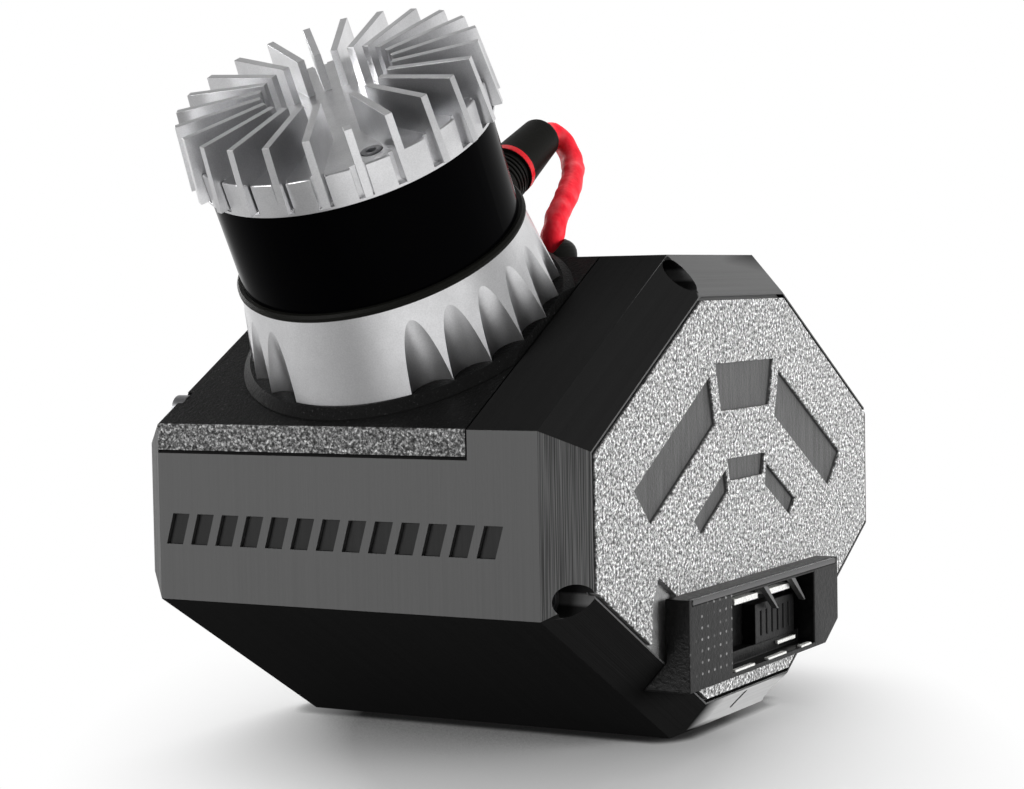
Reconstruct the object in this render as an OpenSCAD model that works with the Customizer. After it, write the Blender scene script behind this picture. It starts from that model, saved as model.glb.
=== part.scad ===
// Portable laser scanner: a printed octagonal housing with a tilted spinning
// laser sensor on its sloping lid, the sensor's lead, and a dock on one end.
// Millimetres. The origin is the middle of the flat bottom, +X points to the
// dock end, -Y to the front face and +Z up.

/* [Housing] */
// Depth from the front face to the back face
housing_depth = 206; // [200:1:216]
// Height from the flat bottom to the flat top
housing_height = 131.4; // [130:0.2:133]
// Height of the front face's top edge, where the slope starts
front_top_z = 88.4; // [87.4:0.2:89.4]
// Length of the prism between its two end chamfers
housing_length = 116; // [112:1:124]
// Depth of the flat bottom
flat_depth = 62; // [58:1:66]
// Size of the 45 degree chamfer round both ends
end_chamfer = 10; // [9:0.5:11]
// Thickness of the printed walls
wall = 3; // [2.6:0.2:3.6]
// Radius of the screw pockets in the ends
pocket_r = 4.2; // [4:0.1:4.4]

/* [Lid] */
// Thickness of the sloping lid
lid_thickness = 6.6; // [6:0.2:7]
// Where the lid ends towards the dock end, along X
lid_right = 38; // [36:1:40]
// How far the lid's flap reaches back over the flat top, along Y
lid_back = 6; // [4:1:10]
// Gap that shows round the lid
lid_gap = 0.5; // [0.3:0.1:0.8]

/* [Sensor] */
// Where the sensor's axis meets the slope, along X
sensor_x = -5; // [-8:1:-2]
// Where the sensor's axis meets the slope, up the slope from its front edge
sensor_up = 49.5; // [48:0.5:51]
// Radius of the sensor's foot
base_r = 43.5; // [43:0.25:44]
// Radius of the base where it meets the window
base_top_r = 39.2; // [39:0.1:39.4]
// Radius of one flute in the base
flute_r = 6.7; // [6.4:0.1:7]
// Radius of the dark window
window_r = 38.3; // [38.1:0.1:38.3]

/* [Heat sink] */
// Number of fins, a whole number of threes
fin_count = 24; // [18:3:27]
// Thickness of one fin
fin_thickness = 2; // [1.8:0.1:2.2]
// Radius at which the fins start
fin_inner_r = 17.7; // [16:0.1:20]
// Height of the fins above the sloping lid
fin_top = 75.3; // [72:0.1:78]

/* [Plug] */
// Direction of the plug round the sensor's axis
plug_angle = 88; // [86:1:90]
// Travel of the plug's locking sleeve
sleeve_travel = 2; // [1:0.2:2.2]
// Radius of the red lead
lead_r = 3.6; // [3.2:0.1:3.6]

/* [Dock] */
// How far the dock stands out of the end plate
dock_proud = 7; // [6:0.5:8]
// Depth of the dock's recess
dock_recess = 9; // [8:0.5:9.5]

/* [Hidden] */
slope = 30;
half_depth = housing_depth/2;
half_length = housing_length/2;
front_bottom_z = (half_depth - flat_depth/2)*tan(slope);
end_x = half_length + end_chamfer;
top_drop = 1.14;
far = 300;

// Lid and the ledge under it
flap_thickness = 5;
ledge = 3;
ledge_front = 14;
ledge_side = 8;
ledge_back = 8;
lid_left = -half_length;
lid_screw_x = [-46, -12, 26];
lid_screw_y = lid_back - 5;

// End plate, on the dock end
plate_thickness = 2.5;
plate_inset = end_chamfer + 1;
plate_gap = 0.9;
rim_step = 0.4;
end_wall = 3.5;
bar_depth = 1.2;

// Screws of the two ends as [y, z, seat of the head, depth of the thread].
// The first of each end runs into the edge of the lid.
right_seat = 54;
lid_edge_seat = [48, 56.4];
left_seat = 62;
right_screws = [[-29.3, 125.8, lid_edge_seat[0], 20], [-96.7, 46.2, right_seat, 8],
                [32, 4.8, right_seat, 8], [96.6, 84, right_seat, 8]];
left_screws = [[-90, 92.1, lid_edge_seat[1], 12], [28.3, 120, left_seat, 14],
               [93, 47.3, left_seat, 14], [-28.3, 10, left_seat, 14]];
screw_r = 2;
head_r = 3.5;
head_h = 4;
boss_r = 7.5;

// Sensor, heights above the slope
foot_h = 2.6;
base_top = 25.3;
base_inner_r = 33;
window_top = 55.6;
window_wall = 2.5;
cap_floor = 65;
cap_r = 39.7;
boss_out_r = 46.7;
boss_in_r = 44.2;
flutes = [for (i = [0:23]) if (i < 17 || i > 19) 7.5 + 15*i];
mount_pcd = 62;
mount_angles = [45, 135, 225, 315];
cap_screw_angles = [-45.3, 74.7, 194.7];
cap_screw_r = 33;
shaft_r = 4;
bearing_r = 8;
running = 0.05;
optic_h = 40.5;

// Plug, distances from the sensor's axis
plug_h = 11.5;
socket_r = 7;
sleeve_start = 46;
ring_start = 67.4;
sleeve_end = ring_start - sleeve_travel - 0.4;
ring_end = 69.4;
boot_end = 90;
plug_r = 7.6;

// Dock on the end plate
dock_front = end_x + dock_proud;
dock_outline = [[-54, 17], [40, 17], [50, 23], [50, 41.5], [-54, 41.5]];
recess_y = [-26.5, 31.5];
recess_z = [18.4, 39];
recess_step = end_x + 1.5;
pit_z = [22, 37];
pit_floor = dock_front - dock_recess;
spigot_y = [-45, 43];
spigot_z = [21, 38];
spigot_back = half_length;

// Inside
frame_x = [46, 50];
shelf_left = -50;
board_z = 84;
board_t = 1.6;
gland_xy = [14, -12];
lead_bottom = 100;

// The lead's route, from the plug's boot over and down through the gland
lead_route = [
    [-2, 10.3, 167.1], [-2, 14, 168.6], [0, 18, 168], [2.5, 19, 164.5], [5.5, 16.5, 160.5],
    [8, 12.5, 157], [10, 7.5, 154], [12, 2, 151], [13.5, -4, 147.5], [14, -9, 143],
    [14, -12, 137], [14, -12, 128], [14, -12, 119], [14, -12, 110], [14, -12, 100]
];
lead_sides = 10;
lead_steps = 2;

$fn = 96;

// ---- Helpers ---------------------------------------------------------------

// Corners of the housing's section, moved inwards by d, counter-clockwise
// from the lower back corner. The flat top moves by top_drop times as much.
function oct_points(d) =
    let (side = half_depth - d,
         top = housing_height - top_drop*d,
         shift = d*(1 - sin(slope))/cos(slope),
         low = front_bottom_z + shift,
         high = front_top_z - shift,
         bottom_y = side - (low - d)/tan(slope),
         top_y = side - (top - high)/tan(slope))
    [[side, low], [side, high], [top_y, top], [-top_y, top],
     [-side, high], [-side, low], [-bottom_y, d], [bottom_y, d]];

module octagon(d) {
    polygon(oct_points(d));
}

// Draws a section given as [y, z] and extrudes it along X
module along_x(from, to) {
    translate([from, 0, 0])
        rotate([90, 0, 90])
            linear_extrude(to - from)
                children();
}

// A cylinder along X through the point [y, z]
module rod_x(from, to, yz, r) {
    translate([from, yz[0], yz[1]])
        rotate([0, 90, 0])
            cylinder(r = r, h = to - from);
}

// A block given by its lowest and highest corners
module block(low, high) {
    translate(low)
        cube(high - low);
}

// A ring, or a disc when inner is 0
module ring(inner, outer, from, to) {
    translate([0, 0, from])
        difference() {
            cylinder(r = outer, h = to - from);
            if (inner > 0)
                translate([0, 0, -1])
                    cylinder(r = inner, h = to - from + 2);
        }
}

// The sensor's own frame: z is its axis, y points up the slope
module at_sensor() {
    translate([sensor_x,
               -half_depth + sensor_up*cos(slope),
               front_top_z + sensor_up*sin(slope)])
        rotate([slope, 0, 0])
            children();
}

// The plug's frame: z points outwards from the sensor's axis
module at_plug() {
    at_sensor()
        translate([0, 0, plug_h])
            rotate([0, 0, plug_angle])
                rotate([0, 90, 0])
                    children();
}

// Copies round the sensor's axis, r out from it
module around(angles, r = 0) {
    for (a = angles)
        rotate([0, 0, a])
            translate([r, 0, 0])
                children();
}

// A rounded rectangle, w by d, with its middle at the origin
module rounded_rect(w, d, r) {
    square([w - 2*r, d], center = true);
    square([w, d - 2*r], center = true);
    for (x = [-1, 1], y = [-1, 1])
        translate([x*(w/2 - r), y*(d/2 - r)])
            circle(r);
}

// A socket-head screw that points along -Z, with its head's seat at z = 0
module cap_screw(r, length, head_r, head_h) {
    translate([0, 0, -length])
        cylinder(r = r, h = length);
    difference() {
        cylinder(r = head_r, h = head_h);
        translate([0, 0, head_h*0.45])
            cylinder(r = head_r*0.55, h = head_h, $fn = 6);
    }
}

// The whole chamfered prism between two planes
module housing_form(from, to) {
    intersection() {
        hull() {
            along_x(-half_length, half_length) octagon(0);
            along_x(-end_x, end_x) octagon(end_chamfer);
        }
        block([from, -far, -far], [to, far, far]);
    }
}

// ---- Lid section -----------------------------------------------------------

// Height of the lid's underside, moved down square to the slope by extra
function lid_under(y, extra) =
    front_top_z - (lid_thickness + extra)/cos(slope) + (y + half_depth)*tan(slope);

// The space over a surface that lies extra below the lid's underside
module lid_zone(extra, back, over) {
    flap_z = housing_height - flap_thickness - extra;
    front = -half_depth - over;
    bend = front + (flap_z - lid_under(front, extra))/tan(slope);
    polygon([[front, lid_under(front, extra)], [bend, flap_z], [back, flap_z],
             [back, housing_height + over], [front, housing_height + over]]);
}

// The hollow of the housing, chamfered like its outside at the dock end
module cavity() {
    end = end_x - plate_thickness - end_wall;
    straight = half_length - wall*(sqrt(2) - 1);
    difference() {
        hull() {
            along_x(-half_length - 1, straight) octagon(wall);
            along_x(-half_length - 1, end) octagon(wall + end - straight);
        }
        along_x(-far, lid_right + ledge)
            lid_zone(ledge, lid_back + ledge, far);
    }
}

// ---- Housing ---------------------------------------------------------------

// A row of slanted slots cut into the front face
slot_count = 13;
slot_pitch = 8;
slot_width = 5.4;
slot_lean = 2.4;
slot_z = [56.5, 64.7];
slot_depth = 1.2;
slot_start = -55.8;

module front_slots() {
    for (i = [0:slot_count - 1])
        translate([slot_start + slot_pitch*i, -half_depth + slot_depth, 0])
            rotate([90, 0, 0])
                linear_extrude(slot_depth + 1)
                    polygon([[0, slot_z[0]], [slot_width, slot_z[0]],
                             [slot_width + slot_lean, slot_z[1]], [slot_lean, slot_z[1]]]);
}

// A short slit in the chamfer under the dock, between two points on it
slit_from = [61.2, 1.2, 3.2];
slit_to = [66.6, 0.6, 8.6];
slit_r = 0.9;

module bottom_slit() {
    run = slit_to - slit_from;
    translate(slit_from)
        rotate([0, acos(run[2]/norm(run)), atan2(run[1], run[0])])
            cylinder(r = slit_r, h = norm(run), $fn = 24);
}

// The opening through the ledge under the lid
module ledge_opening() {
    along_x(lid_left + ledge_side, lid_right - ledge_side)
        intersection() {
            lid_zone(ledge + 1, lid_back - ledge_back, 0);
            translate([-half_depth + ledge_front, 0])
                square(far);
        }
}

module screw_bosses() {
    intersection() {
        housing_form(-half_length, end_x - end_wall);
        union() {
            for (p = right_screws)
                rod_x(frame_x[1], end_x, p, boss_r);
            for (p = left_screws)
                rod_x(-half_length, -half_length + 14, p, boss_r);
            rod_x(lid_right, end_x, right_screws[0], boss_r);
            for (x = lid_screw_x)
                translate([x, lid_screw_y, housing_height - flap_thickness - 12])
                    cylinder(r = 4, h = 12);
        }
    }
}

module housing_shell() {
    color("dimgray")
    difference() {
        union() {
            difference() {
                housing_form(-half_length, end_x - rim_step);
                cavity();
            }
            screw_bosses();
        }
        along_x(lid_left - 1, lid_right)
            lid_zone(0, lid_back + lid_gap, far);
        ledge_opening();
        along_x(end_x - plate_thickness, end_x + 1)
            octagon(plate_inset - plate_gap);
        dock_window(half_length - 1);
        for (p = right_screws) {
            rod_x(p[2], end_x + 1, p, pocket_r);
            rod_x(lid_right - 1, end_x, p, screw_r + 0.2);
        }
        for (p = left_screws)
            rod_x(-half_length - 1, -half_length + 11, p, screw_r + running);
        rod_x(-end_x, -lid_edge_seat[1], left_screws[0], pocket_r);
        for (x = lid_screw_x)
            translate([x, lid_screw_y, housing_height - flap_thickness - 10])
                cylinder(r = 1.5 + running, h = 12);
        front_slots();
        bottom_slit();
    }
}

module left_end_cap() {
    color("dimgray")
    difference() {
        housing_form(-end_x, -half_length);
        along_x(-end_x + 4, -half_length + 1)
            octagon(end_chamfer + 9);
        for (p = left_screws) {
            rod_x(-end_x - 1, -p[2], p, pocket_r);
            rod_x(-end_x, -half_length + 1, p, screw_r + 0.2);
        }
    }
}

// Straight bars recessed in the end plate, side by side with the octagon's
// upper sides: [y, z, angle, length, width]
plate_bars = [
    [-44, 79, 30, 54, 13], [0, 95, 0, 40, 13], [44, 79, -30, 54, 13],
    [-23, 63.5, 30, 24, 6], [0, 72, 0, 26, 6], [23, 63.5, -30, 24, 6]
];

module plate_bar(bar) {
    half = bar[3]/2;
    short = half - bar[4]*tan(slope/2);
    translate([bar[0], bar[1]])
        rotate(bar[2])
            polygon([[-short, -bar[4]/2], [short, -bar[4]/2],
                     [half, bar[4]/2], [-half, bar[4]/2]]);
}

module dock_window(from) {
    along_x(from, end_x + 1)
        translate([spigot_y[0] - 0.2, spigot_z[0] - 0.2])
            square([spigot_y[1] - spigot_y[0] + 0.4, spigot_z[1] - spigot_z[0] + 0.4]);
}

// The sloping relief in the end plate beside the dock
ramp_outline = [[-57, 47.5], [-61, 41], [-61.5, 29], [-54, 23.5], [-47, 23.5], [-47, 42]];
ramp_angle = 12;

module plate_ramp() {
    intersection() {
        along_x(end_x - plate_thickness + 0.6, end_x + 1)
            polygon(ramp_outline);
        translate([end_x, ramp_outline[2][0], 0])
            rotate([0, 0, ramp_angle])
                block([-far, 0, 0], [20, far, housing_height]);
    }
}

module end_plate() {
    color("darkgray")
    difference() {
        along_x(end_x - plate_thickness, end_x)
            octagon(plate_inset);
        along_x(end_x - bar_depth, end_x + 1)
            for (bar = plate_bars)
                plate_bar(bar);
        plate_ramp();
        dock_window(half_length);
    }
}

module right_end_screws() {
    color("silver")
    for (p = right_screws)
        translate([p[2], p[0], p[1]])
            rotate([0, 90, 0])
                cap_screw(screw_r, p[3], head_r, head_h);
}

module left_end_screws() {
    color("silver")
    for (p = left_screws)
        translate([-p[2], p[0], p[1]])
            rotate([0, -90, 0])
                cap_screw(screw_r, p[3], head_r, head_h);
}

// ---- Lid -------------------------------------------------------------------

module lid_boss() {
    edge = 0.4;
    intersection() {
        at_sensor() {
            translate([0, 0, -30])
                cylinder(r = boss_out_r, h = 30 + edge);
            translate([0, 0, edge])
                cylinder(r1 = boss_out_r, r2 = boss_in_r, h = foot_h - edge);
        }
        along_x(lid_left, lid_right - lid_gap)
            lid_zone(0, lid_back, far);
    }
}

module sensor_lid() {
    color([0.1, 0.1, 0.11])
    difference() {
        union() {
            along_x(lid_left, lid_right - lid_gap)
                intersection() {
                    octagon(0);
                    lid_zone(0, lid_back, far);
                }
            lid_boss();
        }
        // shadow gap along the front edge
        block([-far, -half_depth - 1, lid_under(-half_depth, 0) - 1],
              [far, -half_depth + 1.6, lid_under(-half_depth, 0) + 0.9]);
        // edge screws
        rod_x(lid_right - 13, far, right_screws[0], screw_r + running);
        rod_x(-far, -half_length + 16, left_screws[0], screw_r + running);
        rod_x(-far, -lid_edge_seat[1], left_screws[0], pocket_r);
        at_sensor()
            around(mount_angles, mount_pcd/2)
                translate([0, 0, -10])
                    cylinder(r = 1.7, h = 20);
        translate([gland_xy[0], gland_xy[1], housing_height - 20])
            cylinder(r = 6.05, h = 40);
        for (x = lid_screw_x)
            translate([x, lid_screw_y, 0]) {
                translate([0, 0, housing_height - 20])
                    cylinder(r = 1.7, h = 40);
                translate([0, 0, housing_height - 1.8])
                    cylinder(r1 = 1.7, r2 = 3.1, h = 1.8);
            }
    }
}

module lid_screws() {
    color("gray")
    for (x = lid_screw_x)
        translate([x, lid_screw_y, housing_height])
            difference() {
                union() {
                    translate([0, 0, -14])
                        cylinder(r = 1.5, h = 13);
                    translate([0, 0, -1.7])
                        cylinder(r1 = 1.5, r2 = 2.9, h = 1.6);
                }
                translate([0, 0, -1.2])
                    cylinder(r = 1.2, h = 2, $fn = 6);
            }
}

module sensor_screws() {
    color("silver")
    at_sensor()
        around(mount_angles, mount_pcd/2)
            translate([0, 0, -lid_thickness])
                mirror([0, 0, 1])
                    cap_screw(1.45, lid_thickness + 6, 2.75, 3);
}

// ---- Sensor housing --------------------------------------------------------

module sensor_base() {
    hub_r = 11;
    color("silver")
    at_sensor()
        difference() {
            union() {
                rotate_extrude()
                    polygon([[0, foot_h], [base_r, foot_h], [base_top_r, base_top],
                             [window_r - window_wall - 0.3, base_top],
                             [window_r - window_wall - 0.3, base_top + 2.7],
                             [base_inner_r, base_top + 2.7], [base_inner_r, 10],
                             [base_inner_r - 2, 10], [base_inner_r - 2, 7], [0, 7]]);
                cylinder(r = hub_r, h = 12);
                cylinder(r = bearing_r, h = 21);
            }
            around(flutes, base_r - 3.5 + flute_r)
                cylinder(r = flute_r, h = base_top + 1);
            translate([0, 0, foot_h + 1])
                cylinder(r = shaft_r + running, h = 40);
            translate([0, 0, -10])
                cylinder(r = far, h = 10 + foot_h);
            around(mount_angles, mount_pcd/2)
                cylinder(r = 1.5, h = 6.3);
            translate([0, 0, plug_h])
                rotate([0, 0, plug_angle])
                    rotate([0, 90, 0])
                        translate([0, 0, base_inner_r - 4])
                            cylinder(r = socket_r + running, h = 30);
        }
}

module window_gasket() {
    color([0.05, 0.05, 0.05])
    at_sensor()
        rotate_extrude()
            polygon([[window_r + running, base_top], [39.6, base_top], [40, 25.8],
                     [40, 26.5], [39.4, 27.2], [window_r + running, 27.2]]);
}

module optical_window() {
    color([0.02, 0.02, 0.03])
    at_sensor()
        ring(window_r - window_wall, window_r, base_top, window_top);
}

module sensor_top_plate() {
    inner = window_r - window_wall - 0.3;
    color("silver")
    at_sensor()
        difference() {
            rotate_extrude()
                polygon([[0, 56.4], [inner - 2, 56.4], [inner - 2, 53.2], [inner, 53.2],
                         [inner, window_top], [37.3, window_top], [37.3, 60], [0, 60]]);
            cylinder(r = shaft_r + running, h = 59);
            around(cap_screw_angles, cap_screw_r)
                cylinder(r = 1.5 + running, h = far);
        }
}

// One fin, standing out along +X
module fin(inner) {
    rotate([90, 0, 0])
        linear_extrude(fin_thickness, center = true)
            polygon([[inner, 60.5], [inner, fin_top], [40.7, fin_top], [42.3, 57.4],
                     [38, 57.4], [38, 60.5]]);
}

// The slot in the rim that one fin stands in, with its wider gap on one side
module fin_slot() {
    gaps = [1.45, 0.45];
    depth = 1.5;
    block([cap_r - depth, -fin_thickness/2 - gaps[0], 56.6],
          [cap_r + 1, fin_thickness/2 + gaps[1], cap_floor + 1]);
}

module heatsink_cap() {
    fin_angles = [for (i = [0:fin_count - 1]) 360/fin_count*(i + 0.5)];
    stub_angle = fin_angles[fin_count - 4];
    stub_r = 38;
    color("silver")
    at_sensor()
        difference() {
            union() {
                difference() {
                    rotate_extrude()
                        polygon([[0, 60], [37.4, 60], [37.4, 55.8], [cap_r, 55.8],
                                 [cap_r, cap_floor - 0.3], [cap_r - 0.3, cap_floor],
                                 [0, cap_floor]]);
                    around(fin_angles)
                        fin_slot();
                }
                for (a = fin_angles)
                    around([a])
                        fin(a == stub_angle ? stub_r : fin_inner_r);
            }
            around(cap_screw_angles, cap_screw_r) {
                translate([0, 0, 50])
                    cylinder(r = 1.7, h = 30);
                translate([0, 0, cap_floor - 2])
                    cylinder(r = 3, h = 30);
            }
        }
}

module cap_screws() {
    color("gray")
    at_sensor()
        around(cap_screw_angles, cap_screw_r)
            translate([0, 0, cap_floor - 2])
                cap_screw(1.5, 6.4, 2.7, 2.2);
}

// ---- Plug and lead ---------------------------------------------------------

module sensor_socket() {
    color([0.06, 0.06, 0.06])
    at_plug()
        rotate_extrude()
            polygon([[0, base_inner_r + 0.3], [socket_r, base_inner_r + 0.3],
                     [socket_r, 42.8], [6.4, 43.4], [5.7, 43.4], [5.7, 35.5], [0, 35.5]]);
}

module plug_body() {
    color([0.08, 0.08, 0.08])
    at_plug()
        rotate_extrude()
            polygon([[0, 36], [5.5, 36], [5.5, 43.9], [6.7, 43.9], [6.7, ring_start - 0.2],
                     [plug_r, ring_start - 0.2], [plug_r, ring_start], [6.9, ring_start],
                     [6.9, ring_end], [plug_r, ring_end], [plug_r, ring_end + 1],
                     [0, ring_end + 1]]);
}

// The sleeve that is pulled back to free the plug
module plug_sleeve() {
    rib_pitch = 1.6;
    rib_first = 59;
    color([0.08, 0.08, 0.08])
    at_plug()
        difference() {
            ring(6.7 + running, plug_r + 0.1, sleeve_start, sleeve_end);
            for (i = [0:3])
                ring(plug_r - 0.45, plug_r + 1, rib_first + rib_pitch*i,
                     rib_first + rib_pitch*i + 0.8);
            ring(plug_r - 0.3, plug_r + 1, 53, 54);
        }
}

module plug_ring() {
    color("crimson")
    at_plug()
        ring(6.9, plug_r + 0.15, ring_start, ring_end);
}

module plug_boot() {
    tip_r = 6.2;
    round_r = 2;
    color([0.07, 0.07, 0.07])
    at_plug()
        rotate_extrude()
            polygon(concat(
                [[0, ring_end + 1], [plug_r - 0.1, ring_end + 1]],
                [for (a = [0:15:90])
                    [tip_r - round_r + round_r*cos(a), boot_end - round_r + round_r*sin(a)]],
                [[3.7, boot_end], [3.7, boot_end - 2], [0, boot_end - 2]]));
}

// A smooth curve through the route's points
function on_curve(a, b, c, d, t) =
    0.5*((2*b) + (c - a)*t + (2*a - 5*b + 4*c - d)*t*t + (3*b - a - 3*c + d)*t*t*t);

function curve(route, steps) =
    let (last = len(route) - 1)
    concat([for (i = [0:last - 1], k = [0:steps - 1])
                on_curve(route[max(i - 1, 0)], route[i], route[i + 1],
                         route[min(i + 2, last)], k/steps)],
           [route[last]]);

function unit(v) = v/norm(v);

// Directions along a list of points
function headings(points) =
    let (last = len(points) - 1)
    [for (i = [0:last]) unit(points[min(i + 1, last)] - points[max(i - 1, 0)])];

// A side vector for each point, carried along so that the tube doesn't twist
function sides(along, i, side) =
    let (here = unit(side - (side*along[i])*along[i]))
    i == len(along) - 1 ? [here] : concat([here], sides(along, i + 1, here));

module tube(points, r, count) {
    along = headings(points);
    side = sides(along, 0, [1, 0, 0]);
    rings = len(points);
    corners = [for (i = [0:rings - 1], k = [0:count - 1])
        points[i] + r*(cos(360*k/count)*side[i] + sin(360*k/count)*cross(along[i], side[i]))];
    walls = [for (i = [0:rings - 2], k = [0:count - 1])
        let (n = (k + 1) % count)
        [i*count + k, (i + 1)*count + k, (i + 1)*count + n, i*count + n]];
    ends = [[for (k = [0:count - 1]) k],
            [for (k = [count - 1:-1:0]) (rings - 1)*count + k]];
    polyhedron(corners, concat(walls, ends));
}

module sensor_lead() {
    color("red")
    tube(curve(lead_route, lead_steps), lead_r, lead_sides);
}

// The gland's head is cut low on the side the lead comes from
module cable_gland() {
    head_h = 5.4;
    dome_r = 4.2;
    lead_side = 30;
    color([0.06, 0.06, 0.06])
    translate([gland_xy[0], gland_xy[1], housing_height])
        difference() {
            rotate_extrude()
                polygon(concat(
                    [[3.7, -18], [6, -18], [6, 0], [7, 0]],
                    [for (a = [0:15:75])
                        [7 - dome_r + dome_r*cos(a), head_h - dome_r + dome_r*sin(a)]],
                    [[3.7, head_h]]));
            rotate([0, 0, lead_side])
                rotate([90, 0, 0])
                    linear_extrude(10)
                        polygon([[-8, 1.4], [0, 1.4], [4, head_h + 0.4], [4, head_h + 1],
                                 [-8, head_h + 1]]);
        }
}

module gland_nut() {
    color([0.06, 0.06, 0.06])
    translate([gland_xy[0], gland_xy[1], housing_height - flap_thickness - 5])
        difference() {
            cylinder(r = 9, h = 5, $fn = 6);
            translate([0, 0, -1])
                cylinder(r = 6 + running, h = 7);
        }
}

// ---- Dock ------------------------------------------------------------------

module dock_block() {
    color([0.07, 0.07, 0.07])
    difference() {
        union() {
            difference() {
                along_x(half_length, dock_front)
                    polygon(dock_outline);
                housing_form(-end_x, end_x);
            }
            block([spigot_back, spigot_y[0], spigot_z[0]],
                  [end_x + 1, spigot_y[1], spigot_z[1]]);
        }
        // shallow recess, and the deeper pit in its middle
        block([recess_step, recess_y[0], recess_z[0]], [far, recess_y[1], recess_z[1]]);
        block([pit_floor, recess_y[0], pit_z[0]], [far, recess_y[1], pit_z[1]]);
        // seat of the rail along the top
        block([dock_front - 1.2, -52, 39.8], [dock_front + 1, 48, 42]);
    }
}

module dock_rail() {
    color([0.1, 0.1, 0.1])
    block([dock_front - 1.2, -52, 39.8], [dock_front + 0.2, 48, 41.4]);
}

module dock_terminal() {
    color([0.15, 0.15, 0.15])
    difference() {
        block([pit_floor, 0, pit_z[0]], [pit_floor + 4, 28, 33.2]);
        for (y = [4:4:24])
            block([pit_floor + 3.4, y - 0.4, 24], [pit_floor + 5, y + 0.4, 31]);
    }
}

module dock_contacts() {
    color("gold") {
        // upper bars
        block([pit_floor, -15, 35], [pit_floor + 4.5, 1, 36.6]);
        block([pit_floor, 9, 35], [pit_floor + 4.5, 24, 36.6]);
        // lower strips along the front of the recess's lower wall
        for (y = [[-25.5, -12.5], [-3, 10], [21, 28.5]])
            block([dock_front - 1.2, y[0], recess_z[0]],
                  [dock_front + 0.2, y[1], recess_z[0] + 0.6]);
        // short bar
        block([recess_step, 15, 19.9], [recess_step + 0.9, 28, 20.9]);
    }
}

module dock_ribs() {
    color("gray")
    for (y = [-1, 19])
        along_x(dock_front - 4, dock_front - 2.2)
            polygon([[y, recess_z[1]], [y + 3, recess_z[1]], [y + 11.5, 31], [y + 10.5, 31]]);
}

module dock_lead() {
    color("dimgray")
    rod_x(power_x[1], spigot_back, dock_lead_yz, 2.5);
}

// ---- Turning optics --------------------------------------------------------

module rotor_shaft() {
    color("lightgray")
    at_sensor()
        ring(0, shaft_r, foot_h + 1, 59);
}

module bearing(from) {
    at_sensor()
        difference() {
            ring(shaft_r + 0.01, bearing_r, from, from + 5);
            ring(5.4, 6.8, from - 1, from + 0.5);
            ring(5.4, 6.8, from + 4.5, from + 6);
        }
}

module lower_bearing() {
    color("silver") bearing(30);
}

module upper_bearing() {
    color("silver") bearing(46);
}

module rotor_turret() {
    color([0.2, 0.2, 0.22])
    at_sensor()
        difference() {
            union() {
                ring(0, 31, 28, 52);
                ring(24, 26, 12, 28.5);
            }
            cylinder(r = bearing_r + running, h = far);
            for (lens = [[11, 9], [-13, 7]])
                translate([lens[0], -10, optic_h])
                    rotate([90, 0, 0])
                        cylinder(r = lens[1], h = 30);
            block([-21, 14, 30], [21, 40, 50]);
        }
}

// A lens that faces -Y: a disc with a domed front
module lens(x, r) {
    dome_r = 18;
    front = 28;
    at_sensor()
        translate([x, 0, optic_h])
            rotate([90, 0, 0])
                intersection() {
                    translate([0, 0, 23])
                        cylinder(r = r, h = 10);
                    translate([0, 0, front - dome_r])
                        sphere(r = dome_r);
                }
}

module receiver_lens() {
    color("darkslateblue") lens(11, 9 - running);
}

module emitter_lens() {
    color("darkslateblue") lens(-13, 7 - running);
}

module laser_board() {
    color("darkgreen")
    at_sensor()
        block([-20, 14, 31], [20, 15.6, 49]);
}

module magnet_ring() {
    color("dimgray")
    at_sensor()
        ring(21, 24, 12, 20);
}

module motor_stator() {
    teeth = 9;
    color("peru")
    at_sensor()
        translate([0, 0, 12])
            linear_extrude(8)
                difference() {
                    union() {
                        circle(12);
                        around([for (i = [0:teeth - 1]) i*360/teeth]) {
                            translate([9, -1.6])
                                square([9, 3.2]);
                            translate([17.5, -5])
                                square([2.5, 10]);
                        }
                    }
                    circle(bearing_r + running);
                }
}

module encoder_disc() {
    slots = 24;
    color("lightgray")
    at_sensor()
        difference() {
            ring(26, 30, 24, 25);
            around([for (i = [0:slots - 1]) i*360/slots])
                block([27.2, -0.9, 23], [29.2, 0.9, 26]);
        }
}

module sensor_board() {
    color("darkgreen")
    at_sensor()
        ring(27, base_inner_r - 0.2, 10, 11.6);
}

// ---- Inside the housing ----------------------------------------------------

lower_shelf_z = [27, 30];
upper_shelf_z = [77.5, 80];
battery_low = [-46, 6, 30];
battery_high = [44, 66, 72];
power_x = [36, 37.6];
power_low = [-80, 36];
power_high = [-24, 72];
dock_lead_yz = [-36, 37];
standoff_xy = [[-42, -18], [38, -18], [-42, 60], [38, 60]];
power_corners = [[-76, 40], [-28, 40], [-76, 68], [-28, 68]];

module chassis_frame() {
    color("slategray")
    difference() {
        union() {
            along_x(frame_x[0], frame_x[1])
                difference() {
                    octagon(wall + 1);
                    lid_zone(ledge + 2.4, lid_back + ledge + 2, far);
                    translate([22, 65])
                        rounded_rect(60, 50, 8);
                    translate([-60, 60])
                        rounded_rect(24, 26, 6);
                }
            along_x(frame_x[0], frame_x[1])
                for (i = [1:3])
                    intersection() {
                        translate([right_screws[i][0], right_screws[i][1]])
                            circle(boss_r);
                        octagon(wall);
                    }
            block([shelf_left, 4, lower_shelf_z[0]], [frame_x[1], 67.5, lower_shelf_z[1]]);
            block([shelf_left, -24, upper_shelf_z[0]], [frame_x[1], 66, upper_shelf_z[1]]);
        }
        for (i = [1:3])
            rod_x(frame_x[0] - 1, frame_x[1] + 1, right_screws[i], screw_r + running);
        rod_x(frame_x[0] - 1, frame_x[1] + 1, dock_lead_yz, 4);
    }
}

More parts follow.
